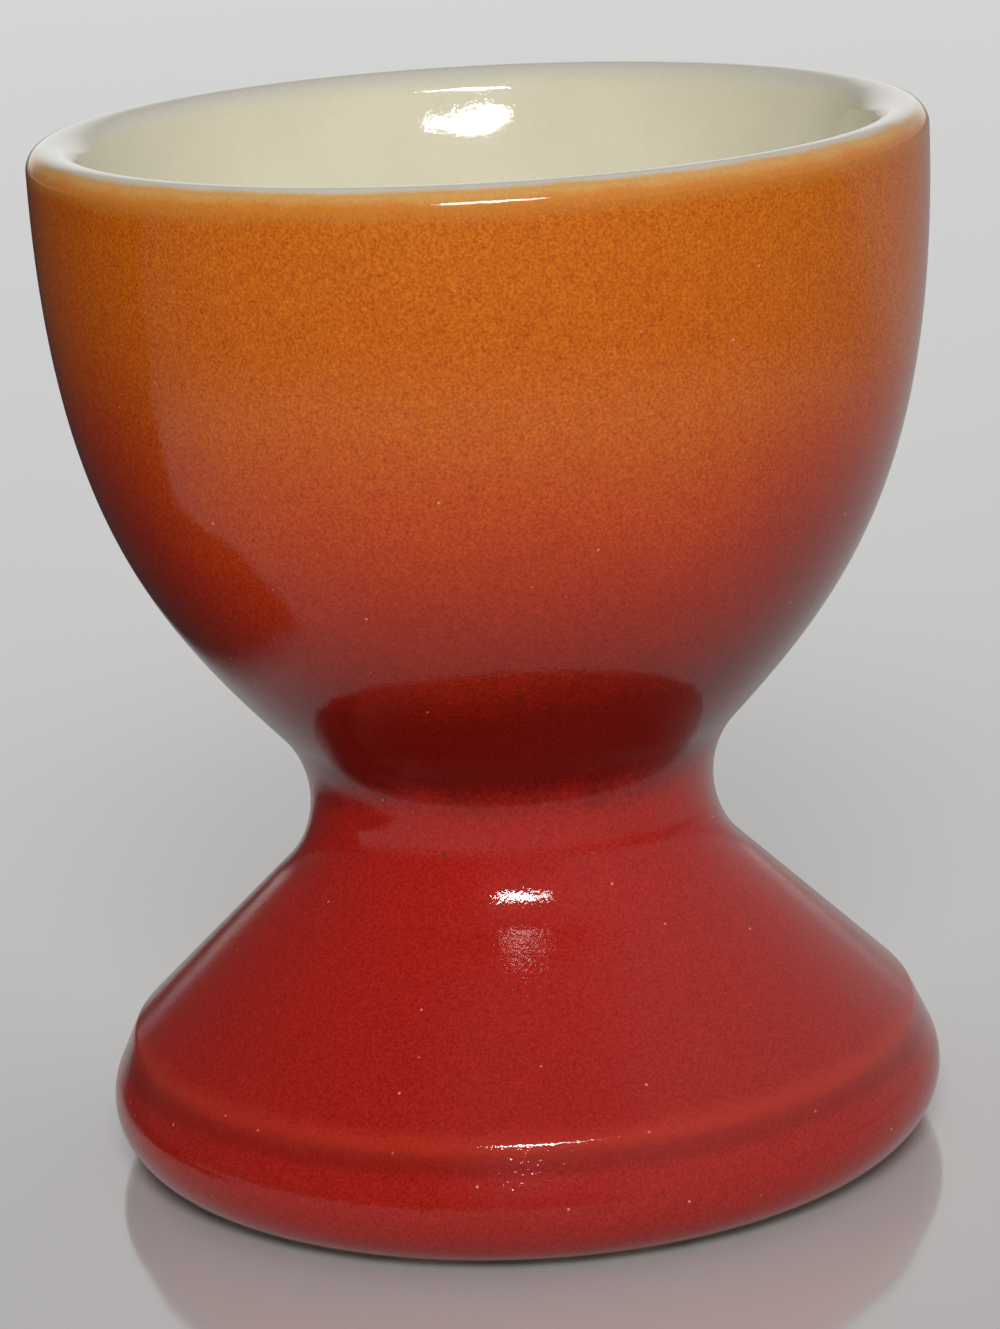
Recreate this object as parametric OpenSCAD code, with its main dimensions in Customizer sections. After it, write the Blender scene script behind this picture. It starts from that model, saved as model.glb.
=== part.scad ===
// Stoneware egg cup: a bowl on a flared, hollow foot, glazed cream inside and in colour outside.
// Millimetres, +Z up, origin at the centre of the base. Every outline is a list of [radius, height]
// points that is turned about the Z axis.

/* [Cup] */
// Height of the cup from the table to the top of the lip
cup_h = 58; // [54:0.5:64]
// Diameter across the lip
rim_d = 49; // [46:0.5:54]
// Radius that rounds the outer side of the lip
lip_round = 1.25; // [1:0.05:1.5]
// Radius that rounds the inner side of the lip
lip_inner_round = 1.8; // [1.4:0.1:2.4]

/* [Egg hollow] */
// Depth of the hollow for the egg, below the top of the lip
hollow_depth = 17.5; // [16:0.5:22]
// Lean of the hollow's wall from upright, just under the lip
hollow_lean = 16; // [12:1:20]

/* [Outside of the bowl] */
// Length over which the bowl's side leaves the lip upright
side_run = 18.6; // [14:0.2:21]
// Length over which the bowl's underside leaves the waist straight
under_run = 9.7; // [7:0.1:12]
// Steepest lean of the bowl's underside from upright
under_lean = 42.5; // [38:0.5:46]

/* [Waist] */
// Diameter at the waist
waist_d = 22.8; // [21:0.2:25]
// Height of the waist
waist_z = 20.4; // [19:0.2:22]
// Radius of the waist's hollow curve, seen from the side
waist_curve = 6.3; // [5:0.1:7]
// Diameter of the hollow inside the stem
stem_bore_d = 11; // [9:0.5:12.5]
// Height of the top of the hollow inside the stem
stem_bore_top = 30; // [28:0.5:32]

/* [Foot] */
// Largest diameter of the band at the bottom of the foot
band_d = 47.3; // [43:0.1:52]
// How far the ridge over the band stands inside the band's widest part
ridge_inset = 1.4; // [0.95:0.05:1.85]
// Height of the ridge
ridge_z = 7.2; // [6.8:0.1:8]
// Radius that rounds the ridge
ridge_round = 0.9; // [0.5:0.1:1.2]
// Height at which the band is widest
band_z = 3.45; // [3.2:0.05:3.6]
// Radius of the band's rounded side
band_round = 3.3; // [3:0.05:3.4]
// Place under the band where the glaze ends, as an angle below level
glaze_end = 65; // [55:1:72]
// Thickness of the foot's wall behind its slope
foot_wall = 4.5; // [3.5:0.1:5.5]
// Radius that rounds the corners of the hollow under the foot
recess_round = 3; // [1.5:0.1:4]

/* [Foot ring] */
// How far the bare ring that the cup stands on is set inside the band's widest part
ring_inset = 3.15; // [2.65:0.05:3.65]
// Width of the bare ring
ring_w = 2.6; // [2:0.1:3.2]
// Rounding of the ring's edges
ring_edge = 0.25; // [0.1:0.05:0.35]
// Height above the table up to which the inner side of the ring is bare
bare_h = 0.6; // [0.5:0.05:1]

/* [Glaze and joint] */
// Thickness of the fired glaze
glaze_t = 0.35; // [0.2:0.05:0.45]
// Place on the lip's outer edge where the colour starts, as an angle above level
colour_start = 45; // [20:1:70]
// Thickness of the slip that joins the bowl to the foot
slip_t = 0.4; // [0.2:0.05:0.8]

/* [Hidden] */
$fn = 128;

// Colours of the fired clay and of the three glazes
clay_colour = [0.86, 0.8, 0.69];
slip_colour = [0.78, 0.71, 0.6];
cream_colour = [0.89, 0.87, 0.78];
coat_colour = [0.78, 0.27, 0.1];

// Overrun of every cutting shape
over = 1;
// Angle between neighbouring points on an arc, and the pieces in a free curve
arc_step = 7;
curve_steps = 28;
quarter_turn = 90;
half_turn = 180;
full_turn = 360;

rim_r = rim_d / 2;
waist_r = waist_d / 2;
stem_bore_r = stem_bore_d / 2;
band_r = band_d / 2;
ring_r = band_r - ring_inset;
ring_in_r = ring_r - ring_w;

// Places that the outlines share
lip_centre = [rim_r - lip_round, cup_h - lip_round];
lip_inner_centre = [rim_r - lip_round, cup_h - lip_inner_round];
waist_centre = [waist_r + waist_curve, waist_z];
band_centre = [band_r - band_round, band_z];
ridge_corner = [band_r - ridge_inset, ridge_z];

// A point at an angle and a distance from a centre
function polar(centre, radius, angle) = centre + radius * [cos(angle), sin(angle)];

// Points along an arc, with both of its ends
function arc(centre, radius, from, to) =
    let (steps = ceil(abs(to - from) / arc_step))
    [for (i = [0:steps]) polar(centre, radius, from + (to - from) * i / steps)];

// Points along a free curve that leaves p0 towards p1 and reaches p3 from p2, with both of its ends
function free_curve(p0, p1, p2, p3) =
    [for (i = [0:curve_steps])
        let (t = i / curve_steps, u = 1 - t)
        u * u * u * p0 + 3 * u * u * t * p1 + 3 * u * t * t * p2 + t * t * t * p3];

// Direction of a vector, as an angle
function heading(v) = atan2(v[1], v[0]);

// Angle on a circle where a line from an outside point touches it; side is 1 or -1
function touch_angle(centre, radius, point, side) =
    heading(point - centre) + side * acos(radius / norm(point - centre));

// Arc that rounds the corner between two straight lines
function rounded_corner(before, corner, after, radius) =
    let (
        a = (before - corner) / norm(before - corner),
        b = (after - corner) / norm(after - corner),
        half = acos(a * b) / 2,
        middle = corner + (a + b) / norm(a + b) * radius / sin(half),
        from = heading(corner + a * radius / tan(half) - middle),
        to = heading(corner + b * radius / tan(half) - middle),
        turn = (to - from + full_turn + half_turn) % full_turn - half_turn
    )
    arc(middle, radius, from, from + turn);

// Every point but the last, and every point but the first
function but_last(path) = [for (i = [0:len(path) - 2]) path[i]];
function but_first(path) = [for (i = [1:len(path) - 1]) path[i]];
function backwards(path) = [for (i = [len(path) - 1:-1:0]) path[i]];

// Direction to the right of a path at one of its points; on the axis it is straight up or down
function side_at(path, i) =
    let (
        last = len(path) - 1,
        along = path[min(i + 1, last)] - path[max(i - 1, 0)],
        right = [along[1], -along[0]] / norm(along)
    )
    path[i][0] == 0 ? [0, sign(right[1])] : right;

// A path moved sideways by a distance, to its right
function beside(path, distance) =
    [for (i = [0:len(path) - 1]) path[i] + distance * side_at(path, i)];

// The hollow for the egg: part of an ellipse on the axis that meets the lip at hollow_lean
lip_inner = polar(lip_inner_centre, lip_inner_round, half_turn - hollow_lean);
hollow_z = cup_h - hollow_depth;
hollow_h = lip_inner[1] - hollow_z;
lean_share = tan(hollow_lean) * hollow_h / lip_inner[0];
height_share = (1 - 2 * lean_share) / (1 - lean_share);
egg_half_h = hollow_h / height_share;
egg_half_w = lip_inner[0] / sqrt(height_share * (2 - height_share));
lip_turn = acos(1 - height_share);
hollow_path =
    [for (i = [0:curve_steps])
        let (turn = lip_turn * i / curve_steps)
        [egg_half_w * sin(turn), hollow_z + egg_half_h * (1 - cos(turn))]];

// The lip, from the hollow over to the place where the colour starts, and on to the upright side
lip_pale_path = concat(
    arc(lip_inner_centre, lip_inner_round, half_turn - hollow_lean, quarter_turn),
    but_first(arc(lip_centre, lip_round, quarter_turn, colour_start))
);
lip_colour_path = arc(lip_centre, lip_round, colour_start, 0);

// The outside of the bowl, down to where its underside meets the waist
side_top = [rim_r, cup_h - lip_round];
under_end = polar(waist_centre, waist_curve, half_turn - under_lean);
side_path = free_curve(
    side_top,
    side_top - [0, side_run],
    under_end + under_run * [sin(under_lean), cos(under_lean)],
    under_end
);

// The waist, and the slope that runs from it to the ridge
slope_touch = touch_angle(waist_centre, waist_curve, ridge_corner, -1);
slope_top = polar(waist_centre, waist_curve, slope_touch);
waist_path = arc(waist_centre, waist_curve, half_turn - under_lean, slope_touch + full_turn);

// The ridge and the band under it, down to the lower edge of the glaze
band_touch = touch_angle(band_centre, band_round, ridge_corner, -1);
band_face = polar(band_centre, band_round, band_touch);
ridge_path = rounded_corner(slope_top, ridge_corner, band_face, ridge_round);
band_path = arc(band_centre, band_round, band_touch, -glaze_end);

// The hollow under the foot, from the ring to its top on the axis
slope_way = (slope_top - ridge_corner) / norm(slope_top - ridge_corner);
wall_back = ridge_corner + foot_wall * [-slope_way[1], slope_way[0]];
recess_corner = wall_back + slope_way * (ring_in_r - wall_back[0]) / slope_way[0];
stem_corner = wall_back + slope_way * (stem_bore_r - wall_back[0]) / slope_way[0];
dome_centre = [0, stem_bore_top - stem_bore_r];
recess_start = [ring_in_r, bare_h];
recess_path = concat(
    [recess_start],
    rounded_corner(recess_start, recess_corner, stem_corner, recess_round),
    rounded_corner(recess_corner, stem_corner, dome_centre + [stem_bore_r, 0], recess_round),
    but_last(arc(dome_centre, stem_bore_r, 0, quarter_turn)),
    [[0, stem_bore_top]]
);

// Glazed faces, each as one path, and the clay behind them
pale_face = concat(hollow_path, but_first(lip_pale_path));
colour_face = concat(
    lip_colour_path,
    but_first(side_path),
    but_first(waist_path),
    ridge_path,
    band_path
);
cup_face = concat(pale_face, but_first(colour_face));
cup_clay = beside(cup_face, glaze_t);
pale_count = len(pale_face);
pale_clay = [for (i = [0:pale_count - 1]) cup_clay[i]];
colour_clay = [for (i = [pale_count - 1:len(cup_clay) - 1]) cup_clay[i]];
recess_clay = beside(recess_path, glaze_t);

// The bare foot ring, from the outer glaze to the hollow under the foot
ring_path = [
    [ring_r, ring_edge],
    [ring_r - ring_edge, 0],
    [ring_in_r + ring_edge, 0],
    [ring_in_r, ring_edge],
    recess_start
];

// A layer between a face and the clay behind it, turned about the axis
module layer(face, clay) {
    rotate_extrude() polygon(concat(face, backwards(clay)));
}

// All the clay of the cup, without its glazes
module clay_body() {
    rotate_extrude() polygon(concat(cup_clay, ring_path, recess_clay));
}

// A slab across the whole cup between two heights
module slab(low, high) {
    translate([0, 0, low]) cylinder(r = rim_r + over, h = high - low);
}

// Upper clay piece, which holds the egg
module bowl() {
    color(clay_colour) intersection() {
        clay_body();
        slab(waist_z + slip_t / 2, cup_h + over);
    }
}

// Lower clay piece, hollow underneath, with the bare ring that stands on the table
module foot() {
    color(clay_colour) intersection() {
        clay_body();
        slab(-over, waist_z - slip_t / 2);
    }
}

// Ring of slip that joins the bowl to the foot at the waist
module luting_slip() {
    color(slip_colour) intersection() {
        clay_body();
        slab(waist_z - slip_t / 2, waist_z + slip_t / 2);
    }
}

// Cream glaze of the hollow, rolled over the lip
module inner_glaze() {
    color(cream_colour) layer(pale_face, pale_clay);
}

// Coloured glaze of the whole outside, from the lip to just above the foot ring
module outer_glaze() {
    color(coat_colour) layer(colour_face, colour_clay);
}

// Cream glaze of the hollow under the foot
module recess_glaze() {
    color(cream_colour) layer(recess_path, recess_clay);
}

bowl();
foot();
luting_slip();
inner_glaze();
outer_glaze();
recess_glaze();
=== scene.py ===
"""Looks of a glazed stoneware egg cup, laid out as an add-on and run as a script.

The glazes and the foot are turned from outlines of (radius, height) points, about the Z axis.
Lengths are metres, and patterns in the glazes are worked out in millimetres.
"""

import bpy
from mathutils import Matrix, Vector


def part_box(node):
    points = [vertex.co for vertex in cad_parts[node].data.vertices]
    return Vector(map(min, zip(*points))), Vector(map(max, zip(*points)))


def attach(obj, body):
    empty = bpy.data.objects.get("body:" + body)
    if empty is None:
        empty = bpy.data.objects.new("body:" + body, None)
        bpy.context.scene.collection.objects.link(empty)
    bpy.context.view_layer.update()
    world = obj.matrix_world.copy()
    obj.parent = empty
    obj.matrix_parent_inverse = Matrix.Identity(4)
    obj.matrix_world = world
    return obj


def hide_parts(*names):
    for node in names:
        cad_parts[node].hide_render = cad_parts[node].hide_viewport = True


bl_info = {
    "name": "Glazed Egg Cup",
    "version": (1, 0, 0),
    "blender": (4, 5, 0),
    "location": "3D View > Sidebar > Egg Cup",
    "description": "Turns the glazes and the foot of a stoneware egg cup, and sets its stage",
    "category": "Add Mesh",
}

import math

import bpy
from mathutils import Matrix, Vector

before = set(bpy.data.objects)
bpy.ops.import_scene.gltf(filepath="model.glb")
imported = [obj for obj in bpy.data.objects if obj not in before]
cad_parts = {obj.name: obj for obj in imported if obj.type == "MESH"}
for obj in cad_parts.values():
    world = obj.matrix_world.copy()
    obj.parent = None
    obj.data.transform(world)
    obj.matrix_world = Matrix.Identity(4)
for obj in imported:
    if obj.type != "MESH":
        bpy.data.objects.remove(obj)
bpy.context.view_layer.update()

MM = 0.001

# Sides of a turned piece, and the angle under which two of its faces look like one
SIDES_ROUND = 216
SMOOTH_ANGLE = math.radians(35)

# Points closer than this are one point, and a piece fills the box of its solid to within this
MERGE_GAP = 0.001 * MM
FIT_GAP = 0.05 * MM

# Spacing of the points of the outlines; the hidden back of a glaze keeps one point in a few
WIDE_ARC_STEP = math.radians(2.5)
TIGHT_ARC_STEP = math.radians(4)
STRAIGHT_STEP = 0.6 * MM
CURVE_PIECES = 64
BACK_STRIDE = 4


def length(label, about, millimetres):
    """A size in metres, with its default given in millimetres."""
    return bpy.props.FloatProperty(
        name=label, description=about, default=millimetres * MM, unit="LENGTH", precision=5
    )


def angle(label, about, degrees):
    """An angle, with its default given in degrees."""
    return bpy.props.FloatProperty(
        name=label, description=about, default=math.radians(degrees), subtype="ANGLE"
    )


def colour(label, about, red, green, blue):
    """A colour, as shares of red, green and blue light."""
    return bpy.props.FloatVectorProperty(
        name=label, description=about, default=(red, green, blue), size=3, subtype="COLOR",
        min=0.0, max=1.0,
    )


def plain(label, about, value):
    """A plain number."""
    return bpy.props.FloatProperty(name=label, description=about, default=value)


class EggCupSizes(bpy.types.PropertyGroup):
    """Sizes of the cup, the same as those of its solids."""

    height: length("Height", "From the table to the top of the lip", 58)
    rim_width: length("Rim width", "Diameter across the lip", 49)
    lip_round: length("Lip radius", "Radius of the lip's outer side", 1.25)
    lip_inside: length("Lip inside radius", "Radius of the lip's inner side", 1.8)
    hollow_depth: length("Hollow depth", "Depth of the hollow for the egg", 17.5)
    hollow_lean: angle("Hollow lean", "Lean of the hollow's wall under the lip", 16)
    side_run: length("Side run", "Length over which the side leaves the lip upright", 18.6)
    under_run: length("Under run", "How far the underside leaves the waist straight", 9.7)
    under_lean: angle("Under lean", "Steepest lean of the underside from upright", 42.5)
    waist_width: length("Waist width", "Diameter at the waist", 22.8)
    waist_height: length("Waist height", "Height of the waist", 20.4)
    waist_curve: length("Waist curve", "Radius of the waist's hollow curve", 6.3)
    stem_bore: length("Stem bore", "Diameter of the hollow inside the stem", 11)
    stem_bore_top: length("Stem bore top", "Height of the top of the hollow in the stem", 30)
    band_width: length("Band width", "Largest diameter of the band under the ridge", 47.3)
    band_height: length("Band height", "Height at which the band is widest", 3.45)
    band_round: length("Band radius", "Radius of the band's rounded side", 3.3)
    ridge_inset: length("Ridge inset", "How far the ridge stands inside the band", 1.4)
    ridge_height: length("Ridge height", "Height of the ridge", 7.2)
    ridge_round: length("Ridge radius", "Radius that rounds the ridge", 0.9)
    glaze_end: angle("Glaze end", "Where the glaze ends on the band, below level", 65)
    foot_wall: length("Foot wall", "Thickness of the foot's wall behind its slope", 4.5)
    recess_round: length("Recess radius", "Radius in the corners under the foot", 3)
    ring_inset: length("Ring inset", "How far the bare ring stands inside the band", 3.15)
    ring_width: length("Ring width", "Width of the bare ring", 2.6)
    ring_edge: length("Ring edge", "Rounding of the ring's edges", 0.25)
    bare_height: length("Bare height", "Height of the bare inner side of the ring", 0.6)
    glaze: length("Glaze thickness", "Thickness of the fired glaze", 0.35)
    colour_start: angle("Colour start", "Where the colour starts on the lip, above level", 45)
    slip: length("Slip thickness", "Thickness of the slip that joins bowl and foot", 0.4)


class EggCupFinish(bpy.types.PropertyGroup):
    """Colours of the clay and the glazes, with the heights at which the sprayed coat has them."""

    cream: colour("Cream", "Glaze of the hollow", 0.66, 0.615, 0.465)
    # Painted shade: the cream is painted greyer on the lip, whose crown faces up
    shaded_rim: colour("Rim", "Glaze on the lip, where it is greyer", 0.52, 0.495, 0.42)
    edge: colour("Edge", "Coat where it starts on the lip", 0.54, 0.28, 0.08)
    thin: colour("Thin", "Coat just under the lip", 0.54, 0.18, 0.024)
    amber: colour("Amber", "Coat on the upper bowl", 0.52, 0.120, 0.002)
    orange: colour("Orange", "Coat on the middle of the bowl", 0.51, 0.095, 0.003)
    rust: colour("Rust", "Coat where the bowl draws in", 0.478, 0.049, 0.003)
    russet: colour("Russet", "Coat under the rust", 0.395, 0.026, 0.004)
    brick: colour("Brick", "Coat on the lower bowl", 0.30, 0.015, 0.004)
    # Maroon and wine are partly the coat's deep red and partly painted shade under the bowl and
    # over the waist
    maroon: colour("Maroon", "Coat under the bowl", 0.165, 0.006, 0.003)
    wine: colour("Wine", "Coat over the waist, where it is darkest", 0.14, 0.005, 0.003)
    red: colour("Red", "Coat below the waist", 0.385, 0.0112, 0.0056)
    low_red: colour("Low red", "Coat at the bottom of the foot", 0.315, 0.0095, 0.005)
    # Crest red is partly the thin coat over the ridge and partly painted light along its crest
    crest_red: colour("Crest red", "Coat where it is thin over the ridge", 0.50, 0.045, 0.018)
    # Painted shade: dark red painted under the ridge and on the bowl's lower sides
    pool: colour("Pool", "Coat where it is thick under the ridge", 0.16, 0.005, 0.003)
    speck: colour("Speck", "Pale pin specks in the coat", 0.80, 0.36, 0.20)
    pit: colour("Pit", "Dark pits in the glaze", 0.05, 0.02, 0.01)
    clay: colour("Clay", "Bare fired clay", 0.62, 0.52, 0.38)
    clay_stain: colour("Clay stain", "Dirt and iron in the bare clay", 0.34, 0.25, 0.16)
    slip: colour("Slip", "Fired slip at the joint", 0.50, 0.41, 0.28)
    edge_height: length("Edge height", "Down to where the coat is palest", 57.65)
    thin_height: length("Thin height", "Where the coat is thin", 57.1)
    amber_height: length("Amber height", "Where the coat turns amber", 56.3)
    orange_height: length("Orange height", "Where amber turns orange", 45.5)
    rust_height: length("Rust height", "Where orange turns to rust", 40)
    russet_height: length("Russet height", "Where rust turns russet", 36)
    brick_height: length("Brick height", "Where russet turns to brick", 32.5)
    maroon_height: length("Maroon height", "Where brick turns maroon", 29)
    wine_height: length("Wine height", "Where the coat is darkest", 23.8)
    red_height: length("Red height", "Where wine turns red", 21.1)
    low_red_height: length("Low red height", "Where the red gets deeper", 10)


class EggCupStage(bpy.types.PropertyGroup):
    """Floor, light and camera."""

    floor_width: length("Floor width", "Diameter of the floor", 6000)
    floor: colour("Floor", "Pale floor, as it lights the cup", 0.53, 0.53, 0.52)
    # Floor dim and floor shade are painted: a dim reflection in front, and shade with a dark
    # reflection on the left
    floor_dim: colour("Floor dim", "Floor in front, as the glaze shows it", 0.24, 0.24, 0.24)
    floor_near: colour("Floor near", "Pale glossy floor by the cup", 0.50, 0.497, 0.492)
    floor_far: colour("Floor far", "Pale glossy floor behind the cup", 0.56, 0.56, 0.57)
    floor_shade: colour("Floor shade", "Floor on the left, in the glaze", 0.05, 0.05, 0.05)
    light: colour("Light", "Colour of the even light all round", 1.0, 0.99, 0.985)
    even_light: plain("Even light", "Strength of the even light on the cup", 0.38)
    right_light: plain("Right light", "Strength of the light on the cup from above right", 0.68)
    front_sheen: plain("Front sheen", "Strength of what the gloss shows in front and above", 0.22)
    right_sheen: plain("Right sheen", "Strength of what the gloss shows on the right", 0.45)
    left_sheen: plain("Left sheen", "Strength of what the gloss shows on the left", 0.08)
    back_sheen: plain("Back sheen", "Strength of what the gloss shows low behind", 1.0)
    lamp_distance: length("Lamp distance", "From the cup to the lamps", 700)
    main_rise: angle("Main rise", "Main lamp above level", 37)
    main_turn: angle("Main turn", "Main lamp to the right of the camera", 0)
    main_width: length("Main width", "Width of the main lamp", 260)
    main_power: plain("Main power", "Power of the main lamp in watts", 3.25)
    gloss_rise: angle("Gloss lamp rise", "Lamp of the bright spots, above level", 36)
    gloss_turn: angle("Gloss lamp turn", "Lamp of the bright spots, to the right of the camera", 0)
    gloss_width: length("Gloss lamp width", "Width of the lamp of the bright spots", 235)
    gloss_height: length("Gloss lamp height", "Height of the lamp of the bright spots", 100)
    gloss_power: plain("Gloss lamp power", "Power of the lamp of the bright spots in watts", 2.6)
    second_rise: angle("Second gloss lamp rise", "Second such lamp above level", 36)
    second_turn: angle("Second gloss lamp turn", "Second such lamp to the right of the camera", 14)
    second_width: length("Second gloss lamp width", "Width of the second such lamp", 80)
    second_height: length("Second gloss lamp height", "Height of the second such lamp", 60)
    second_power: plain("Second gloss lamp power", "Power of the second such lamp in watts", 0.3)
    lamp_lean: angle("Lamp lean", "How far the right end of a gloss lamp is raised", 9)
    camera_back: length("Camera distance", "From the cup's axis to the camera, on level", 234.6)
    camera_height: length("Camera height", "Height of the camera over the table", 90.06)
    camera_fall: angle("Camera fall", "How far the camera looks down", 14.983)
    camera_turn: angle("Camera turn", "How far the camera looks to the left", 0.074)
    camera_roll: angle("Camera roll", "How far the camera leans", -3.116)
    camera_lens: plain("Lens", "Focal length in millimetres on a 36 mm frame", 117.18)


# Outlines


def polar(centre, radius, turn):
    """The point at a distance and an angle from a centre."""
    return centre + radius * Vector((math.cos(turn), math.sin(turn)))


def arc(centre, radius, start, end, step):
    """Points along an arc, with both of its ends."""
    pieces = max(1, math.ceil(abs(end - start) / step))
    return [polar(centre, radius, start + (end - start) * i / pieces) for i in range(pieces + 1)]


def free_curve(start, start_way, end_way, end):
    """Points along a curve that leaves start towards start_way and reaches end from end_way."""
    points = []
    for i in range(CURVE_PIECES + 1):
        t = i / CURVE_PIECES
        u = 1 - t
        from_start = u * u * u * start + 3 * u * u * t * start_way
        points.append(from_start + 3 * u * t * t * end_way + t * t * t * end)
    return points


def between(start, end):
    """Points inside a straight stretch, without its ends."""
    pieces = max(1, math.ceil((end - start).length / STRAIGHT_STEP))
    return [start.lerp(end, i / pieces) for i in range(1, pieces)]


def heading(way):
    """Direction of a vector, as an angle."""
    return math.atan2(way.y, way.x)


def touch_angle(centre, radius, point):
    """Angle on a circle where the line from an outside point touches it, on its right."""
    way = point - centre
    return heading(way) - math.acos(radius / way.length)


def rounded_corner(before, corner, after, radius):
    """Arc that rounds the corner between two straight lines."""
    a = (before - corner).normalized()
    b = (after - corner).normalized()
    half = math.acos(a.dot(b)) / 2
    middle = corner + (a + b).normalized() * (radius / math.sin(half))
    start = heading(corner + a * (radius / math.tan(half)) - middle)
    end = heading(corner + b * (radius / math.tan(half)) - middle)
    turn = (end - start + 3 * math.pi) % (2 * math.pi) - math.pi
    return arc(middle, radius, start, start + turn, TIGHT_ARC_STEP)


def beside(path, distance):
    """A path moved to its right; a point on the axis stays on the axis."""
    moved = []
    for i, point in enumerate(path):
        before = (point - path[i - 1]).normalized() if i else Vector((0, 0))
        after = (path[i + 1] - point).normalized() if i + 1 < len(path) else Vector((0, 0))
        along = before + after
        right = Vector((along.y, -along.x)).normalized()
        if point.x < MERGE_GAP:
            right = Vector((0, math.copysign(1, right.y)))
        moved.append(point + distance * right)
    return moved


def thinned(path):
    """Every few points of a path, with both of its ends."""
    return path[:-1:BACK_STRIDE] + path[-1:]


def under(path, level):
    """The part of a falling path that lies under a level, cut at the level."""
    for i in range(len(path) - 1):
        if path[i].y >= level > path[i + 1].y:
            share = (path[i].y - level) / (path[i].y - path[i + 1].y)
            return [path[i].lerp(path[i + 1], share)] + path[i + 1:]
    raise ValueError("the path doesn't cross the level")


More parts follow.
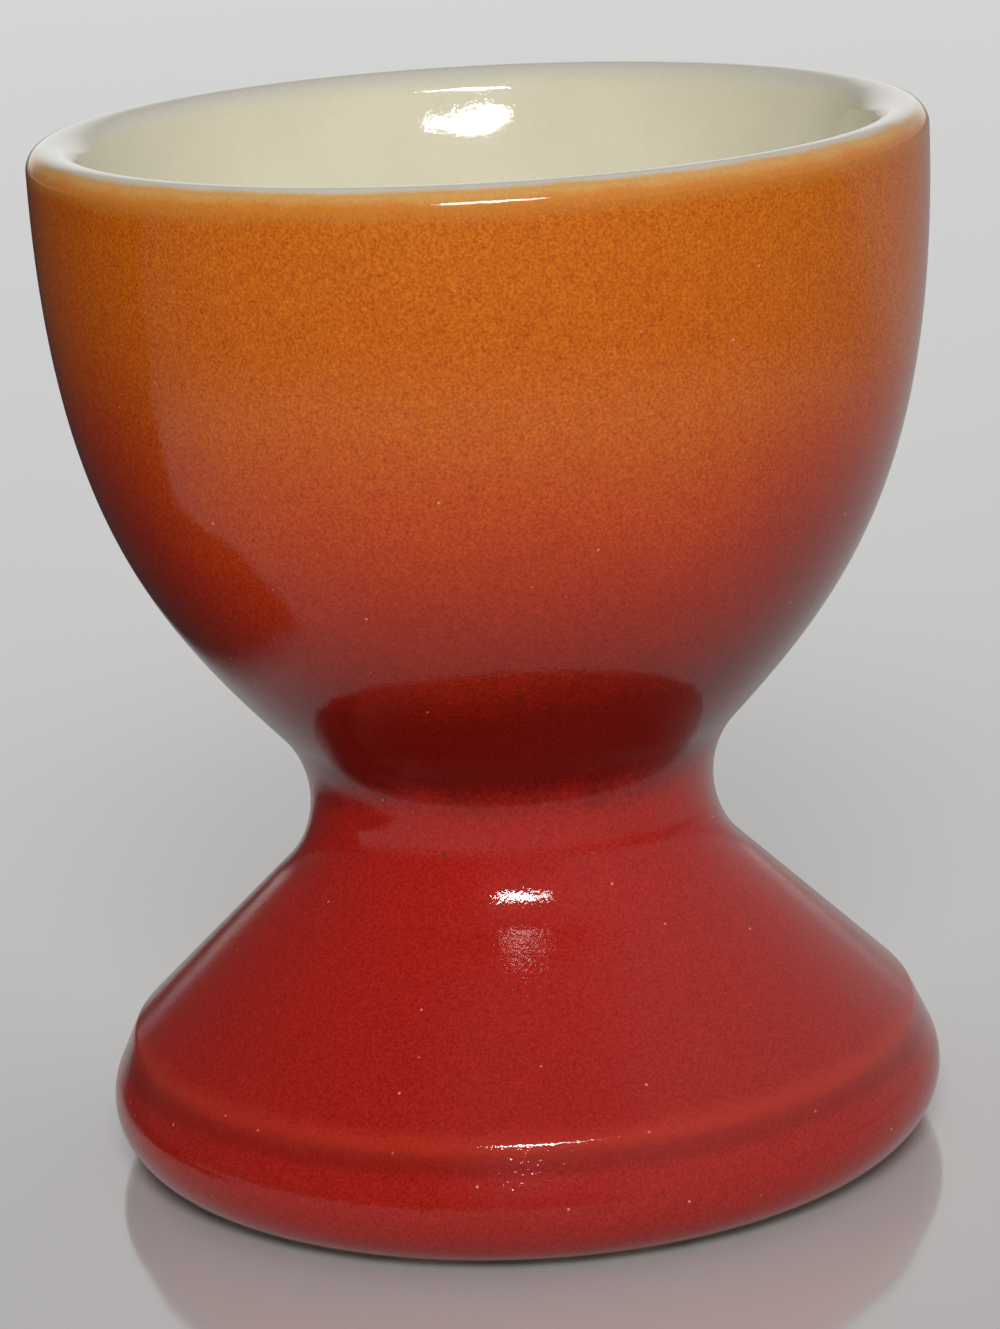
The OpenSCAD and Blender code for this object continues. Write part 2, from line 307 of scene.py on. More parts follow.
class Outlines:
    """Outlines of the cup's faces, and of the clay behind them."""

    def __init__(self, sizes):
        self.sizes = sizes
        self.lip_centre = Vector(
            (sizes.rim_width / 2 - sizes.lip_round, sizes.height - sizes.lip_round)
        )
        self.inner_centre = Vector((self.lip_centre.x, sizes.height - sizes.lip_inside))
        self.waist_centre = Vector(
            (sizes.waist_width / 2 + sizes.waist_curve, sizes.waist_height)
        )
        band = sizes.band_width / 2
        self.band_centre = Vector((band - sizes.band_round, sizes.band_height))
        self.ridge_corner = Vector((band - sizes.ridge_inset, sizes.ridge_height))
        self.ring_outside = band - sizes.ring_inset
        self.ring_inside = self.ring_outside - sizes.ring_width
        self.slope_touch = touch_angle(self.waist_centre, sizes.waist_curve, self.ridge_corner)
        self.slope_top = polar(self.waist_centre, sizes.waist_curve, self.slope_touch)

    def hollow(self):
        """The hollow for the egg, from its bottom on the axis to the lip."""
        sizes = self.sizes
        lip = polar(self.inner_centre, sizes.lip_inside, math.pi - sizes.hollow_lean)
        bottom = sizes.height - sizes.hollow_depth
        rise = lip.y - bottom
        lean_share = math.tan(sizes.hollow_lean) * rise / lip.x
        height_share = (1 - 2 * lean_share) / (1 - lean_share)
        half_height = rise / height_share
        half_width = lip.x / math.sqrt(height_share * (2 - height_share))
        lip_turn = math.acos(1 - height_share)
        turns = [lip_turn * i / CURVE_PIECES for i in range(CURVE_PIECES + 1)]
        return [
            Vector((half_width * math.sin(t), bottom + half_height * (1 - math.cos(t))))
            for t in turns
        ]

    def lip(self, start, end):
        """Part of the lip's rounded outer side."""
        return arc(self.lip_centre, self.sizes.lip_round, start, end, TIGHT_ARC_STEP)

    def pale_face(self):
        """Face of the cream glaze: the hollow and the lip."""
        sizes = self.sizes
        inner = arc(
            self.inner_centre, sizes.lip_inside, math.pi - sizes.hollow_lean, math.pi / 2,
            TIGHT_ARC_STEP,
        )
        outer = self.lip(math.pi / 2, sizes.colour_start)
        return self.hollow() + inner[1:] + outer[1:]

    def colour_face(self):
        """Face of the coloured glaze: the outside, from the lip to under the band."""
        sizes = self.sizes
        side_top = self.lip_centre + Vector((sizes.lip_round, 0))
        under_turn = math.pi - sizes.under_lean
        under_end = polar(self.waist_centre, sizes.waist_curve, under_turn)
        under_way = Vector((math.sin(sizes.under_lean), math.cos(sizes.under_lean)))
        side = free_curve(
            side_top,
            side_top - Vector((0, sizes.side_run)),
            under_end + sizes.under_run * under_way,
            under_end,
        )
        waist = arc(
            self.waist_centre, sizes.waist_curve, under_turn,
            self.slope_touch + 2 * math.pi, WIDE_ARC_STEP,
        )
        band_touch = touch_angle(self.band_centre, sizes.band_round, self.ridge_corner)
        band_top = polar(self.band_centre, sizes.band_round, band_touch)
        ridge = rounded_corner(self.slope_top, self.ridge_corner, band_top, sizes.ridge_round)
        band = arc(
            self.band_centre, sizes.band_round, band_touch, -sizes.glaze_end, WIDE_ARC_STEP
        )
        slope = between(waist[-1], ridge[0])
        straight = between(ridge[-1], band[0])
        lip = self.lip(sizes.colour_start, 0)
        return lip + side[1:] + waist[1:] + slope + ridge + straight + band

    def recess_face(self):
        """Face under the foot, from the bare ring to the top of the stem's hollow."""
        sizes = self.sizes
        way = (self.slope_top - self.ridge_corner).normalized()
        back = self.ridge_corner + sizes.foot_wall * Vector((-way.y, way.x))
        bore = sizes.stem_bore / 2
        start = Vector((self.ring_inside, sizes.bare_height))
        corner = back + way * ((self.ring_inside - back.x) / way.x)
        stem_corner = back + way * ((bore - back.x) / way.x)
        dome_centre = Vector((0, sizes.stem_bore_top - bore))
        dome_start = dome_centre + Vector((bore, 0))
        low = rounded_corner(start, corner, stem_corner, sizes.recess_round)
        high = rounded_corner(corner, stem_corner, dome_start, sizes.recess_round)
        dome = arc(dome_centre, bore, 0, math.pi / 2, TIGHT_ARC_STEP)
        dome[-1] = Vector((0, sizes.stem_bore_top))
        return (
            [start] + between(start, low[0]) + low + between(low[-1], high[0]) + high
            + between(high[-1], dome[0]) + dome
        )

    def foot(self):
        """The foot's clay, once round: outside, bare ring, hollow and the level joint."""
        sizes = self.sizes
        level = sizes.waist_height - sizes.slip / 2
        outside = under(beside(self.colour_face(), sizes.glaze), level)
        inside = beside(self.recess_face(), sizes.glaze)
        inside = under(inside[::-1], level)[::-1]
        edge = sizes.ring_edge
        ring_side = arc(
            Vector((self.ring_outside - edge, edge)), edge, 0, -math.pi / 2, TIGHT_ARC_STEP
        )
        ring_back = arc(
            Vector((self.ring_inside + edge, edge)), edge, -math.pi / 2, -math.pi, TIGHT_ARC_STEP
        )
        ring = ring_side + between(ring_side[-1], ring_back[0]) + ring_back
        return outside + ring + [self.recess_face()[0]] + inside + [outside[0]]


def layer(face, thickness):
    """The outline of a glaze: its face, and back along the clay. It is open only on the axis."""
    back = thinned(beside(face, thickness)[::-1])
    closing = [] if face[0].x < MERGE_GAP else [face[0]]
    if face[-1].x < MERGE_GAP:
        return back + face + [back[0]]
    return face + back + closing


def turned_piece(name, outline):
    """Turns an outline about the Z axis into one closed mesh, with its place in the mesh."""
    bpy.ops.object.select_all(action="DESELECT")
    bpy.ops.mesh.primitive_plane_add(size=MM)
    piece = bpy.context.object
    piece.name = piece.data.name = name
    bpy.ops.object.mode_set(mode="EDIT")
    bpy.ops.mesh.select_all(action="SELECT")
    bpy.ops.mesh.merge(type="CENTER")
    bpy.ops.transform.translate(value=(outline[0].x, 0, outline[0].y))
    for here, there in zip(outline, outline[1:]):
        step = there - here
        bpy.ops.mesh.extrude_vertices_move(TRANSFORM_OT_translate={"value": (step.x, 0, step.y)})
    bpy.ops.mesh.select_all(action="SELECT")
    bpy.ops.mesh.spin(steps=SIDES_ROUND, angle=2 * math.pi, center=(0, 0, 0), axis=(0, 0, 1))
    bpy.ops.mesh.select_all(action="SELECT")
    bpy.ops.mesh.remove_doubles(threshold=MERGE_GAP)
    bpy.ops.mesh.dissolve_degenerate(threshold=MERGE_GAP)
    bpy.ops.mesh.select_all(action="SELECT")
    bpy.ops.mesh.normals_make_consistent(inside=False)
    bpy.ops.object.mode_set(mode="OBJECT")
    bpy.ops.object.shade_smooth_by_angle(angle=SMOOTH_ANGLE)
    return piece


def dress(piece, node, material):
    """Gives a finished piece its glaze or clay, its body and the solid that it stands for."""
    piece.data.materials.clear()
    piece.data.materials.append(material)
    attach(piece, "root")
    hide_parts(node)
    low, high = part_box(node)
    points = [vertex.co for vertex in piece.data.vertices]
    for axis in range(3):
        own_low = min(point[axis] for point in points)
        own_high = max(point[axis] for point in points)
        if abs(own_low - low[axis]) > FIT_GAP or abs(own_high - high[axis]) > FIT_GAP:
            raise ValueError(f"{piece.name} doesn't fill the box of {node}")


# Materials

# Fine grain: two noises by size in millimetres, how much the coarse one adds, and the least tint
FINE_GRAIN = 0.15
COARSE_GRAIN = 0.4
COARSE_SHARE = 0.5
LEAST_TINT = (0.1, 0.1, 0.1)

# Soft edge of a speck, as shares of its radius, and the softness of the choice of cells
SPECK_EDGE = (0.6, 1.3)
CELL_CHOICE_EDGE = 0.01


class Wiring:
    """Adds nodes to one node tree and links them. A pattern is worked out in millimetres."""

    def __init__(self, tree):
        self.tree = tree
        tree.nodes.clear()

    def node(self, kind, inputs=(), **settings):
        """One new node, with its settings and with a value or a link at each named input."""
        made = self.tree.nodes.new(kind)
        for name, value in settings.items():
            setattr(made, name, value)
        for place, value in dict(inputs).items():
            self.feed(made.inputs[place], value)
        return made

    def feed(self, socket, value):
        """Links an output to an input, or sets the input's value."""
        if isinstance(value, bpy.types.NodeSocket):
            self.tree.links.new(value, socket)
        else:
            socket.default_value = value

    def maths(self, operation, first, second=0.0):
        """The result of a Math node."""
        return self.node("ShaderNodeMath", {0: first, 1: second}, operation=operation).outputs[0]

    def place(self):
        """Place on the object in millimetres: the point, its radius, and its height."""
        source = self.node("ShaderNodeTexCoord").outputs["Object"]
        point = self.node(
            "ShaderNodeVectorMath", {0: source, "Scale": 1 / MM}, operation="SCALE"
        ).outputs[0]
        parts = self.node("ShaderNodeSeparateXYZ", {0: point}).outputs
        squares = [self.maths("MULTIPLY", part, part) for part in (parts[0], parts[1])]
        return point, self.maths("SQRT", self.maths("ADD", *squares)), parts[2]

    def noise(self, point, size, detail=2.0):
        """Even noise around a half, with features of about a size in millimetres."""
        return self.node(
            "ShaderNodeTexNoise", {"Vector": point, "Scale": 1 / size, "Detail": detail}
        ).outputs["Fac"]

    def sway(self, value, noise, amount):
        """A value that a noise moves up and down by an amount."""
        centred = self.maths("SUBTRACT", noise, 0.5)
        return self.maths("ADD", value, self.maths("MULTIPLY", centred, amount))

    def rise(self, value, low, high):
        """From 0 to 1, smoothly, as a value goes from low to high."""
        return self.node(
            "ShaderNodeMapRange",
            {"Value": value, "From Min": low, "From Max": high},
            interpolation_type="SMOOTHSTEP",
        ).outputs[0]

    def fall(self, value, low, high):
        """From 1 to 0, smoothly, as a value goes from low to high."""
        return self.maths("SUBTRACT", 1.0, self.rise(value, low, high))

    def both(self, first, second):
        """The product of two shares."""
        return self.maths("MULTIPLY", first, second)

    def level(self, share, first, second):
        """A number between two, by a share."""
        kept = self.both(first, self.maths("SUBTRACT", 1.0, share))
        return self.maths("ADD", kept, self.both(second, share))

    def grained(self, shade, point, amounts):
        """A colour with fine grain, by its own amount in red, green and blue."""
        grain = self.noise(point, FINE_GRAIN, 1.0)
        grain = self.maths("MULTIPLY", self.maths("SUBTRACT", grain, 0.5), 2.0)
        grain = self.sway(grain, self.noise(point, COARSE_GRAIN), COARSE_SHARE)
        change = self.node(
            "ShaderNodeVectorMath", {0: amounts, "Scale": grain}, operation="SCALE"
        ).outputs[0]
        change = self.node(
            "ShaderNodeVectorMath", {0: change, 1: (1, 1, 1)}, operation="ADD"
        ).outputs[0]
        change = self.node(
            "ShaderNodeVectorMath", {0: change, 1: LEAST_TINT}, operation="MAXIMUM"
        ).outputs[0]
        return self.node(
            "ShaderNodeVectorMath", {0: shade, 1: change}, operation="MULTIPLY"
        ).outputs[0]

    def specks(self, point, spacing, radius, share):
        """Round specks of a radius, in a share of the cells of a spacing, all in millimetres."""
        cells = self.node(
            "ShaderNodeTexVoronoi", {"Vector": point, "Scale": 1 / spacing}, feature="F1"
        ).outputs
        edge = [part * radius / spacing for part in SPECK_EDGE]
        inside = self.fall(cells["Distance"], *edge)
        pick = self.node("ShaderNodeSeparateXYZ", {0: cells["Color"]}).outputs[0]
        return self.both(inside, self.fall(pick, share, share + CELL_CHOICE_EDGE))

    def mix(self, share, first, second):
        """A colour between two, by a share."""
        made = self.node("ShaderNodeMix", {0: share, 6: first, 7: second}, data_type="RGBA")
        return made.outputs[2]

    def ramp(self, value, stops):
        """A colour read off a scale of (place, colour) stops from 0 to 1."""
        made = self.node("ShaderNodeValToRGB", {0: value})
        scale = made.color_ramp
        while len(scale.elements) < len(stops):
            scale.elements.new(1.0)
        for element, (place, shade) in zip(scale.elements, stops):
            element.position = place
            element.color = solid(shade)
        return made.outputs[0]

    def shader(self, base, roughness, height, relief, **constants):
        """A surface: colour, roughness, fine relief in metres, and what is even all over."""
        bump = self.node(
            "ShaderNodeBump", {"Height": height, "Distance": relief, "Strength": 1.0}
        ).outputs[0]
        made = self.node(
            "ShaderNodeBsdfPrincipled",
            {"Base Color": base, "Roughness": roughness, "Normal": bump},
        )
        for name, value in constants.items():
            made.inputs[name.replace("_", " ")].default_value = value
        if "Coat_Weight" in constants:
            self.tree.links.new(bump, made.inputs["Coat Normal"])
        return made.outputs[0]

    def surface(self, shader):
        """The shader that the material shows."""
        self.node("ShaderNodeOutputMaterial", {"Surface": shader})


def solid(shade):
    """A colour with its fourth number, which is one."""
    return (*shade, 1.0)


def new_material(name):
    """An empty node material and its wiring."""
    material = bpy.data.materials.new(name)
    material.use_nodes = True
    return material, Wiring(material.node_tree)


# Patterns of the sprayed coat: the size of each, and how far it moves the heights of the colours
SPRAY_GRAIN = 0.34
SPRAY_GRAIN_MOVE = 2.4
SPRAY_CLOUD = 2.6
SPRAY_CLOUD_MOVE = 2.0
SPRAY_DRIFT = 15.0
SPRAY_DRIFT_MOVE = 4.0

# Painted shade on the bowl's lower left and right sides, drawn as a darker coat: where it sets in
# to the left and right of the axis, the heights over which the right side and all of it thin out,
# and how far it moves the colours
SIDE_SHADE_LEFT = (12.0, 23.0)
SIDE_SHADE_RIGHT = (8.0, 20.0)
SIDE_SHADE_RIGHT_TOP = (36.0, 50.0)
SIDE_SHADE_RIGHT_SHARE = 0.6
SIDE_SHADE_BOTTOM = (21.0, 30.0)
SIDE_SHADE_MOVE = 4.5

# How much the painted shade darkens the coat, high up and low down, and the heights between the
# two
SIDE_SHADE_DARK = (0.2, 0.6)
SIDE_SHADE_DARK_HEIGHTS = (36.0, 54.0)

# How the thin coat under the lip wavers, and how far under the amber it sets in
THIN_CLOUD_MOVE = 0.7
THIN_GRAIN_MOVE = 0.15
THIN_BELOW_AMBER = 0.3

# Grain in red, green and blue, and the pale pin specks: spacing, radius and share of the cells
COAT_GRAIN = (0.45, 0.9, 1.4)
THIN_GRAIN = (0.12, 0.2, 0.3)
PINS = (1.5, 0.075, 0.5)
PIN_STRENGTH = 0.7


def sprayed_coat(wiring, point, level, finish, sizes):
    """The sprayed colour: amber at the lip, through orange and brick, to red at the foot.

    The coat is thin under the lip, and painted shade darkens it low down on the left and right of
    the bowl.
    """
    grain = wiring.noise(point, SPRAY_GRAIN, 1.0)
    cloud = wiring.noise(point, SPRAY_CLOUD)
    drift = wiring.noise(point, SPRAY_DRIFT, 1.0)
    read = wiring.sway(level, grain, SPRAY_GRAIN_MOVE)
    read = wiring.sway(read, cloud, SPRAY_CLOUD_MOVE)
    read = wiring.sway(read, drift, SPRAY_DRIFT_MOVE)
    across = wiring.node("ShaderNodeSeparateXYZ", {0: point}).outputs[0]
    # Painted shade on the bowl's left and right sides, lower down, where less light falls
    side_shade = wiring.rise(wiring.maths("MULTIPLY", across, -1.0), *SIDE_SHADE_LEFT)
    right = wiring.both(wiring.rise(across, *SIDE_SHADE_RIGHT), wiring.fall(level, *SIDE_SHADE_RIGHT_TOP))
    side_shade = wiring.maths("ADD", side_shade, wiring.both(right, SIDE_SHADE_RIGHT_SHARE))
    side_shade = wiring.both(side_shade, wiring.rise(level, *SIDE_SHADE_BOTTOM))
    read = wiring.maths("SUBTRACT", read, wiring.both(side_shade, SIDE_SHADE_MOVE))
    share = wiring.maths("DIVIDE", read, sizes.height / MM)
    # The maroon and wine stops carry painted shade under the bowl and over the waist
    shades = (
        (finish.low_red_height, finish.low_red),
        (finish.red_height, finish.red),
        (finish.wine_height, finish.wine),
        (finish.maroon_height, finish.maroon),
        (finish.brick_height, finish.brick),
        (finish.russet_height, finish.russet),
        (finish.rust_height, finish.rust),
        (finish.orange_height, finish.orange),
        (finish.amber_height, finish.amber),
    )
    coat = wiring.ramp(share, [(height / sizes.height, shade) for height, shade in shades])
    deeper = wiring.level(wiring.fall(level, *SIDE_SHADE_DARK_HEIGHTS), *SIDE_SHADE_DARK)
    coat = wiring.mix(wiring.both(side_shade, deeper), coat, solid(finish.pool))
    coat = wiring.grained(coat, point, COAT_GRAIN)
    top_level = wiring.sway(wiring.sway(level, cloud, THIN_CLOUD_MOVE), grain, THIN_GRAIN_MOVE)
    thin_high = finish.thin_height / MM
    edge_high = finish.edge_height / MM
    thin = wiring.rise(top_level, finish.amber_height / MM - THIN_BELOW_AMBER, thin_high)
    pale = wiring.rise(top_level, thin_high, edge_high)
    pale = wiring.mix(pale, solid(finish.thin), solid(finish.edge))
    coat = wiring.mix(thin, coat, wiring.grained(pale, point, THIN_GRAIN))
    pins = wiring.specks(point, *PINS)
    return wiring.mix(wiring.both(pins, PIN_STRENGTH), coat, solid(finish.speck))


# The cream glaze: the size of its faint patches, where they set in, and how much darker they are
CREAM_PATCH = 6.0
CREAM_PATCH_EDGE = (0.3, 0.7)
CREAM_PATCH_SHADE = 0.955
CREAM_GRAIN = (0.05, 0.06, 0.08)
RIM_BELOW = 0.2

# Where the coat feathers out on the lip: the size and reach of two wavers, and the soft edge
LIP_WAVER = (0.3, 0.25)
LIP_SWELL = (3.0, 0.4)
LIP_EDGE = (-0.8, -0.1)
LIP_OUTSIDE = (-0.2, 0.1)

# Dark pits: spacing, radius and share of the cells
PITS = (5.0, 0.14, 0.5)
PIT_STRENGTH = 0.75

# Thin coat on the ridge, with painted light along its crest, and painted shade under it: depth
# below the ridge, waver, soft edge, strength
RIDGE_WAVER = 1.5
RIDGE_INSIDE = (-2.0, -0.7)
CREST_BELOW = 0.25
CREST_WAVER = 0.8
CREST_EDGE = (0.1, 1.1)
CREST_STRENGTH = 0.3
RIDGE_SHADE_BELOW = 1.0
RIDGE_SHADE_WAVER = 0.5
RIDGE_SHADE_EDGE = (0.2, 0.9)
RIDGE_SHADE_STRENGTH = 0.42

# Relief of the glaze: fine ripple, which is weaker on the bowl than on the foot, and a broad swell
RIPPLE = 0.22
RIPPLE_HEIGHTS = (16.0, 24.0)
RIPPLE_SHARES = (0.8, 2.4)
SWELL = 1.6
SWELL_SHARE = 2.2
GLAZE_RELIEF = 0.006 * MM

# Roughness under the clear top of the glaze, and how far smudges change it
GLAZE_ROUGHNESS = 0.30
SMUDGE = 4.5
SMUDGE_CHANGE = 0.10


def glaze_material(name, context, outside_only):
    """Glossy fired glaze: cream inside and on the lip, and the sprayed colour outside."""
    sizes = context.scene.egg_cup_sizes
    finish = context.scene.egg_cup_finish
    outlines = Outlines(sizes)
    material, wiring = new_material(name)
    point, radius, level = wiring.place()
    coat = sprayed_coat(wiring, point, level, finish, sizes)

    # Cream, painted greyer on the lip as shade on its upward face
    patch = wiring.rise(wiring.noise(point, CREAM_PATCH, 3.0), *CREAM_PATCH_EDGE)
    shade = dimmed(finish.cream, CREAM_PATCH_SHADE)
    cream = wiring.mix(patch, solid(finish.cream), solid(shade))
    lip_level = outlines.lip_centre.y / MM
    on_lip = wiring.rise(level, lip_level - RIM_BELOW, sizes.height / MM - RIM_BELOW)
    cream = wiring.grained(wiring.mix(on_lip, cream, solid(finish.shaded_rim)), point, CREAM_GRAIN)

    # The coat feathers out over the lip's outer rounding
    out = wiring.maths("SUBTRACT", radius, outlines.lip_centre.x / MM)
    down = wiring.maths("SUBTRACT", level, lip_level)
    way_down = wiring.maths("SUBTRACT", out, down)
    for size, reach in (LIP_WAVER, LIP_SWELL):
        way_down = wiring.sway(way_down, wiring.noise(point, size), reach)
    outside = wiring.rise(way_down, *LIP_EDGE)
    if not outside_only:
        outside = wiring.both(outside, wiring.rise(out, *LIP_OUTSIDE))
    base = wiring.mix(outside, cream, coat)
    pits = wiring.specks(point, *PITS)
    base = wiring.mix(wiring.both(pits, PIT_STRENGTH), base, solid(finish.pit))

    # Thin over the ridge, and lighter along its crest with painted light
    ridge = outlines.ridge_corner
    near = wiring.maths("ABSOLUTE", wiring.maths("SUBTRACT", level, ridge.y / MM - CREST_BELOW))
    near = wiring.sway(near, wiring.noise(point, RIDGE_WAVER), CREST_WAVER)
    there = wiring.rise(radius, *[ridge.x / MM + part for part in RIDGE_INSIDE])
    crest = wiring.both(wiring.fall(near, *CREST_EDGE), there)
    base = wiring.mix(wiring.both(crest, CREST_STRENGTH), base, solid(finish.crest_red))

    # Painted shade: darker in the hollow under the ridge
    low = wiring.maths("ABSOLUTE", wiring.maths("SUBTRACT", level, ridge.y / MM - RIDGE_SHADE_BELOW))
    low = wiring.sway(low, wiring.noise(point, RIDGE_WAVER), RIDGE_SHADE_WAVER)
    pool = wiring.both(wiring.fall(low, *RIDGE_SHADE_EDGE), there)
    base = wiring.mix(wiring.both(pool, RIDGE_SHADE_STRENGTH), base, solid(finish.pool))

    # Relief and roughness
    rippled = wiring.level(wiring.fall(level, *RIPPLE_HEIGHTS), *RIPPLE_SHARES)
    ripple = wiring.both(wiring.noise(point, RIPPLE), rippled)
    swell = wiring.both(wiring.noise(point, SWELL, 1.0), SWELL_SHARE)
    height = wiring.maths("ADD", ripple, swell)
    roughness = wiring.sway(GLAZE_ROUGHNESS, wiring.noise(point, SMUDGE, 3.0), SMUDGE_CHANGE)
    wiring.surface(wiring.shader(
        base, roughness, height, GLAZE_RELIEF,
        IOR=1.5, Specular_IOR_Level=0.02, Coat_Weight=0.88, Coat_Roughness=0.04, Coat_IOR=1.5,
    ))
    return material


def dimmed(shade, share):
    """A colour with less light in it."""
    return tuple(part * share for part in shade)


# The bare clay: sizes of its grain and stains, where a stain sets in, and the dark iron specks
CLAY_GRAIN = 0.25
CLAY_CLOUD = 3.5
CLAY_STAINED = (0.42, 0.75)
IRON_PER_MM = 1.6
IRON_EDGE = (0.05, 0.16)
IRON_SHADE = 0.75
CLAY_ROUGHNESS = 0.82
CLAY_ROUGHNESS_CHANGE = 0.15
CLAY_RELIEF = 0.03 * MM


def clay_material(name, shade, stain):
    """Bare fired stoneware: fine-grained, matt and slightly stained."""
    material, wiring = new_material(name)
    point, _, _ = wiring.place()
    grain = wiring.noise(point, CLAY_GRAIN, 3.0)
    cloud = wiring.noise(point, CLAY_CLOUD, 3.0)
    base = wiring.mix(wiring.rise(cloud, *CLAY_STAINED), solid(shade), solid(stain))
    iron = wiring.node(
        "ShaderNodeTexVoronoi", {"Vector": point, "Scale": IRON_PER_MM}, feature="F1"
    ).outputs["Distance"]
    base = wiring.mix(wiring.fall(iron, *IRON_EDGE), base, solid(dimmed(stain, IRON_SHADE)))
    roughness = wiring.sway(CLAY_ROUGHNESS, cloud, CLAY_ROUGHNESS_CHANGE)
    wiring.surface(wiring.shader(base, roughness, grain, CLAY_RELIEF, IOR=1.45))
    return material


# Operators


class EGGCUP_OT_clay(bpy.types.Operator):
    """Turn the foot with its bare ring, and give the clay and the slip their finish"""

    bl_idname = "egg_cup.clay"
    bl_label = "Clay"

    def execute(self, context):
        sizes = context.scene.egg_cup_sizes
        finish = context.scene.egg_cup_finish
        clay = clay_material("fired_clay", finish.clay, finish.clay_stain)
        slip = clay_material("fired_slip", finish.slip, finish.clay_stain)
        foot = turned_piece("foot_clay", Outlines(sizes).foot())
        dress(foot, "foot", clay)
        for node, material in (("bowl", clay), ("luting_slip", slip)):
            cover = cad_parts[node].data.materials
            cover.clear()
            cover.append(material)
        return {"FINISHED"}


class EGGCUP_OT_cream_glaze(bpy.types.Operator):
    """Turn the cream glaze of the egg hollow and the lip"""

    bl_idname = "egg_cup.cream_glaze"
    bl_label = "Cream glaze"

    def execute(self, context):
        sizes = context.scene.egg_cup_sizes
        piece = turned_piece("cream_coat", layer(Outlines(sizes).pale_face(), sizes.glaze))
        dress(piece, "inner_glaze", glaze_material("cream_glaze", context, False))
        return {"FINISHED"}


class EGGCUP_OT_colour_glaze(bpy.types.Operator):
    """Turn the coloured glaze of the outside"""

    bl_idname = "egg_cup.colour_glaze"
    bl_label = "Colour glaze"

    def execute(self, context):
        sizes = context.scene.egg_cup_sizes
        piece = turned_piece("colour_coat", layer(Outlines(sizes).colour_face(), sizes.glaze))
        dress(piece, "outer_glaze", glaze_material("colour_glaze", context, True))
        return {"FINISHED"}


class EGGCUP_OT_recess_glaze(bpy.types.Operator):
    """Turn the cream glaze of the hollow under the foot"""

    bl_idname = "egg_cup.recess_glaze"
    bl_label = "Recess glaze"

    def execute(self, context):
        sizes = context.scene.egg_cup_sizes
        piece = turned_piece("recess_coat", layer(Outlines(sizes).recess_face(), sizes.glaze))
        dress(piece, "recess_glaze", bpy.data.materials["cream_glaze"])
        return {"FINISHED"}


# The floor, in millimetres: its sides round, the size and reach of its clouds, and where near
# turns to far
FLOOR_SIDES = 96
FLOOR_CLOUD = 40.0
FLOOR_CLOUD_MOVE = 30.0
FLOOR_FAR = (60.0, 320.0)
FLOOR_ROUGHNESS = 0.10
FLOOR_ROUGHNESS_CHANGE = 0.02
FLOOR_RELIEF = 0.01 * MM

# The floor as the glaze shows it: a painted dim reflection from some way out in front, and painted
# shade and a painted dark reflection on the left from a line that steps forward towards the cup
DIM_OUT = (115.0, 170.0)
DIM_IN_FRONT = (20.0, 120.0)
DARK_LEFT = (32.0, 42.0)
DARK_STEP_PLACE = (-92.0, -55.0)
DARK_STEP = 24.0
DARK_NEAR = (4.0, 9.0)
DARK_FAR = (500.0, 900.0)

# The light all round, by direction: where each side sets in across, along and upwards
LIGHT_LEFT = (0.1, 0.5)
LIGHT_RIGHT = (0.1, 0.6)
LIGHT_BEHIND = (0.86, 0.98)
LIGHT_BEHIND_TOP = (0.38, 0.55)
LIGHT_ABOVE = (0.05, 0.5)


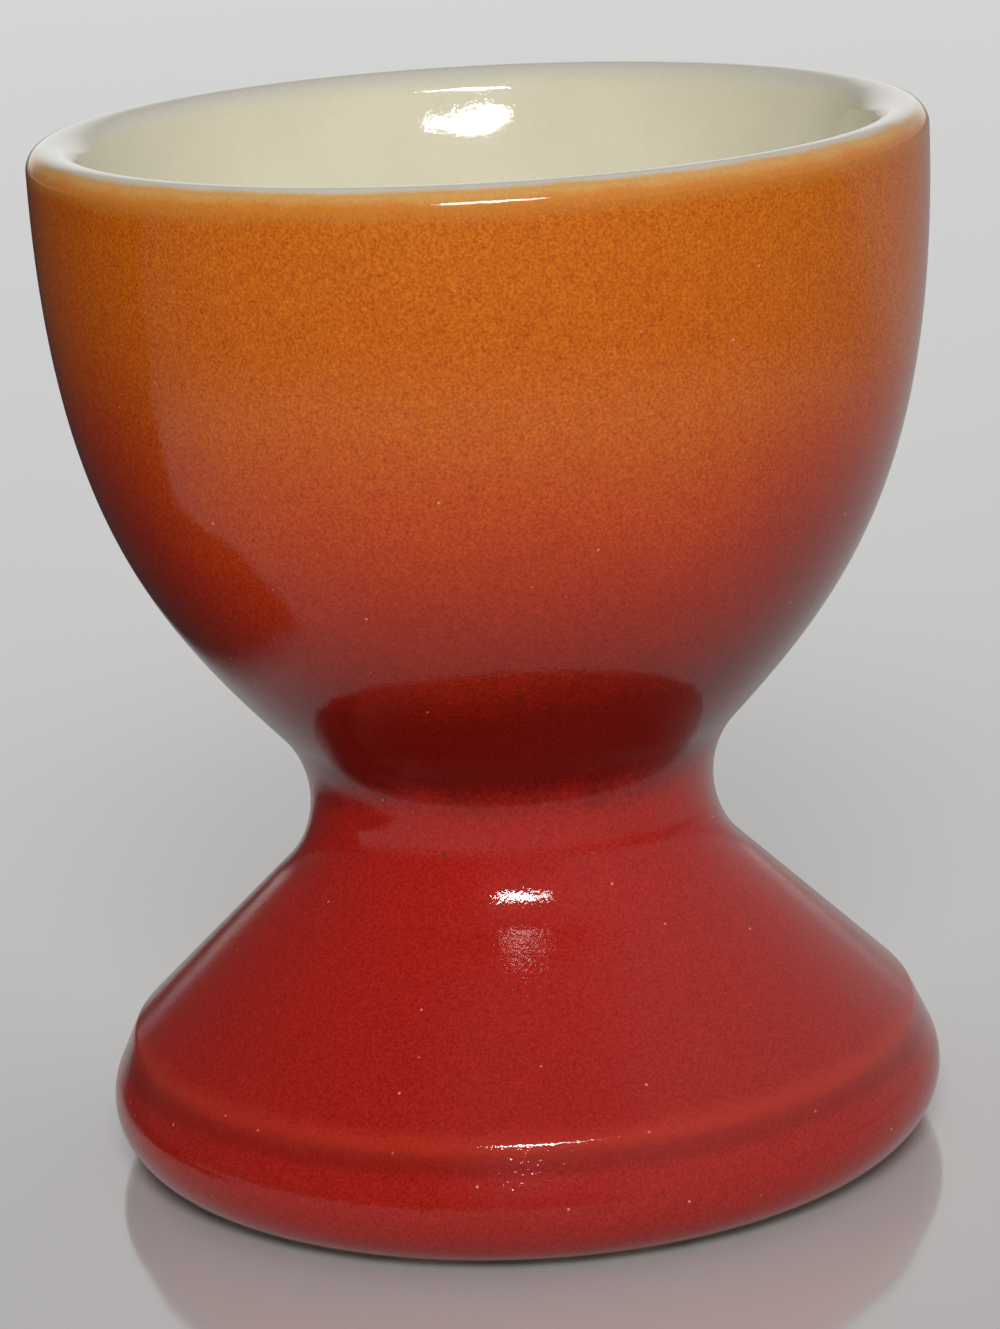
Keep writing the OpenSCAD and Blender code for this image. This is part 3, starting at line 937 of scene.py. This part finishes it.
class EGGCUP_OT_stage(bpy.types.Operator):
    """Set the floor, the light and the camera"""

    bl_idname = "egg_cup.stage"
    bl_label = "Stage"

    def execute(self, context):
        stage = context.scene.egg_cup_stage
        context.scene.view_settings.view_transform = "Standard"
        self.floor(stage)
        self.even_light(context, stage)
        sizes = context.scene.egg_cup_sizes
        aim = Vector((0, 0, sizes.height / 2))
        main_lamp = lamp(
            "main_lamp", aim, stage.lamp_distance, stage.main_turn, stage.main_rise,
            0.0, stage.main_width, stage.main_width, stage.main_power,
        )
        main_lamp.visible_glossy = False
        gloss_lamp = lamp(
            "gloss_lamp", aim, stage.lamp_distance, stage.gloss_turn, stage.gloss_rise,
            stage.lamp_lean, stage.gloss_width, stage.gloss_height, stage.gloss_power,
        )
        second_lamp = lamp(
            "second_gloss_lamp", aim, stage.lamp_distance, stage.second_turn, stage.second_rise,
            stage.lamp_lean, stage.second_width, stage.second_height, stage.second_power,
        )
        gloss_lamp.visible_diffuse = second_lamp.visible_diffuse = False
        self.camera(context, stage)
        return {"FINISHED"}

    def floor(self, stage):
        """A round pale floor with a soft gloss.

        The glaze shows it dim in front and dark on the left, as a painted reflection and painted
        shade, and the camera doesn't.
        """
        bpy.ops.object.select_all(action="DESELECT")
        bpy.ops.mesh.primitive_circle_add(
            vertices=FLOOR_SIDES, radius=stage.floor_width / 2, fill_type="NGON"
        )
        floor = bpy.context.object
        floor.name = floor.data.name = "floor"
        material, wiring = new_material("floor")
        point, away, _ = wiring.place()
        cloud = wiring.noise(point, FLOOR_CLOUD)
        far = wiring.rise(wiring.sway(away, cloud, FLOOR_CLOUD_MOVE), *FLOOR_FAR)
        shown = wiring.mix(far, solid(stage.floor_near), solid(stage.floor_far))
        roughness = wiring.sway(FLOOR_ROUGHNESS, cloud, FLOOR_ROUGHNESS_CHANGE)
        glossy = wiring.shader(shown, roughness, cloud, FLOOR_RELIEF, IOR=3.2)
        parts = wiring.node("ShaderNodeSeparateXYZ", {0: point}).outputs
        rays = wiring.node("ShaderNodeLightPath").outputs
        ahead = wiring.both(wiring.rise(away, *DIM_OUT), wiring.fall(parts[1], *DIM_IN_FRONT))
        dim = wiring.both(ahead, rays["Is Glossy Ray"])
        tint = wiring.mix(dim, solid(stage.floor), solid(stage.floor_dim))
        leftward = wiring.rise(wiring.maths("MULTIPLY", parts[0], -1.0), *DARK_LEFT)
        step = wiring.both(wiring.rise(parts[0], *DARK_STEP_PLACE), DARK_STEP)
        beyond = wiring.rise(wiring.maths("ADD", parts[1], step), *DARK_NEAR)
        shaded = wiring.both(wiring.both(leftward, beyond), wiring.fall(parts[1], *DARK_FAR))
        tint = wiring.mix(shaded, tint, solid(stage.floor_shade))
        matt = wiring.node("ShaderNodeBsdfDiffuse", {"Color": tint}).outputs[0]
        seen = rays["Is Camera Ray"]
        both = wiring.node("ShaderNodeMixShader", {0: seen, 1: matt, 2: glossy}).outputs[0]
        wiring.surface(both)
        floor.data.materials.append(material)

    def even_light(self, context, stage):
        """Even light on the cup, stronger from above right, and what the gloss shows all round."""
        world = bpy.data.worlds.new("even_light")
        world.use_nodes = True
        context.scene.world = world
        wiring = Wiring(world.node_tree)
        way = wiring.node("ShaderNodeTexCoord").outputs["Generated"]
        parts = wiring.node("ShaderNodeSeparateXYZ", {0: way}).outputs
        left = wiring.rise(wiring.maths("MULTIPLY", parts[0], -1.0), *LIGHT_LEFT)
        right = wiring.rise(parts[0], *LIGHT_RIGHT)
        low = wiring.fall(parts[2], *LIGHT_BEHIND_TOP)
        behind = wiring.both(wiring.rise(parts[1], *LIGHT_BEHIND), low)
        shown = wiring.level(right, stage.front_sheen, stage.right_sheen)
        shown = wiring.level(left, shown, stage.left_sheen)
        shown = wiring.level(behind, shown, stage.back_sheen)
        glossy = wiring.node("ShaderNodeLightPath").outputs["Is Glossy Ray"]
        above = wiring.both(right, wiring.rise(parts[2], *LIGHT_ABOVE))
        cast = wiring.level(above, stage.even_light, stage.right_light)
        strength = wiring.level(glossy, cast, shown)
        ground = wiring.node(
            "ShaderNodeBackground", {"Color": solid(stage.light), "Strength": strength}
        )
        wiring.node("ShaderNodeOutputWorld", {"Surface": ground.outputs[0]})

    def camera(self, context, stage):
        """The camera, at the photograph's place and lean."""
        bpy.ops.object.camera_add(location=(0, -stage.camera_back, stage.camera_height))
        camera = bpy.context.object
        camera.name = camera.data.name = "camera"
        aim = (
            Matrix.Rotation(stage.camera_turn, 3, "Z")
            @ Matrix.Rotation(math.pi / 2 - stage.camera_fall, 3, "X")
            @ Matrix.Rotation(stage.camera_roll, 3, "Z")
        )
        camera.rotation_euler = aim.to_euler()
        camera.data.lens = stage.camera_lens
        camera.data.clip_start = 1 * MM
        context.scene.camera = camera


def lamp(name, aim, distance, turn, rise, lean, width, height, power):
    """A flat lamp that faces a point, at an angle to the right of the camera and above level."""
    level = math.cos(rise)
    way = Vector((math.sin(turn) * level, -math.cos(turn) * level, math.sin(rise)))
    bpy.ops.object.light_add(type="AREA", location=aim + way * distance)
    made = bpy.context.object
    made.name = made.data.name = name
    facing = way.to_track_quat("Z", "Y").to_matrix()
    made.rotation_euler = (facing @ Matrix.Rotation(lean, 3, "Z")).to_euler()
    made.data.shape = "ELLIPSE"
    made.data.size = width
    made.data.size_y = height
    made.data.energy = power
    return made


class EGGCUP_PT_panel(bpy.types.Panel):
    """Lists the steps that make the egg cup."""

    bl_idname = "EGGCUP_PT_panel"
    bl_label = "Egg Cup"
    bl_space_type = "VIEW_3D"
    bl_region_type = "UI"
    bl_category = "Egg Cup"

    def draw(self, context):
        for step in STEPS:
            self.layout.operator(step.bl_idname)


STEPS = (
    EGGCUP_OT_clay,
    EGGCUP_OT_cream_glaze,
    EGGCUP_OT_colour_glaze,
    EGGCUP_OT_recess_glaze,
    EGGCUP_OT_stage,
)
GROUPS = (EggCupSizes, EggCupFinish, EggCupStage)


def register():
    for made in (*GROUPS, *STEPS, EGGCUP_PT_panel):
        bpy.utils.register_class(made)
    bpy.types.Scene.egg_cup_sizes = bpy.props.PointerProperty(type=EggCupSizes)
    bpy.types.Scene.egg_cup_finish = bpy.props.PointerProperty(type=EggCupFinish)
    bpy.types.Scene.egg_cup_stage = bpy.props.PointerProperty(type=EggCupStage)


def unregister():
    del bpy.types.Scene.egg_cup_stage
    del bpy.types.Scene.egg_cup_finish
    del bpy.types.Scene.egg_cup_sizes
    for made in reversed((*GROUPS, *STEPS, EGGCUP_PT_panel)):
        bpy.utils.unregister_class(made)


def main():
    register()
    bpy.ops.egg_cup.clay()
    bpy.ops.egg_cup.cream_glaze()
    bpy.ops.egg_cup.colour_glaze()
    bpy.ops.egg_cup.recess_glaze()
    bpy.ops.egg_cup.stage()


if __name__ == "__main__":
    main()
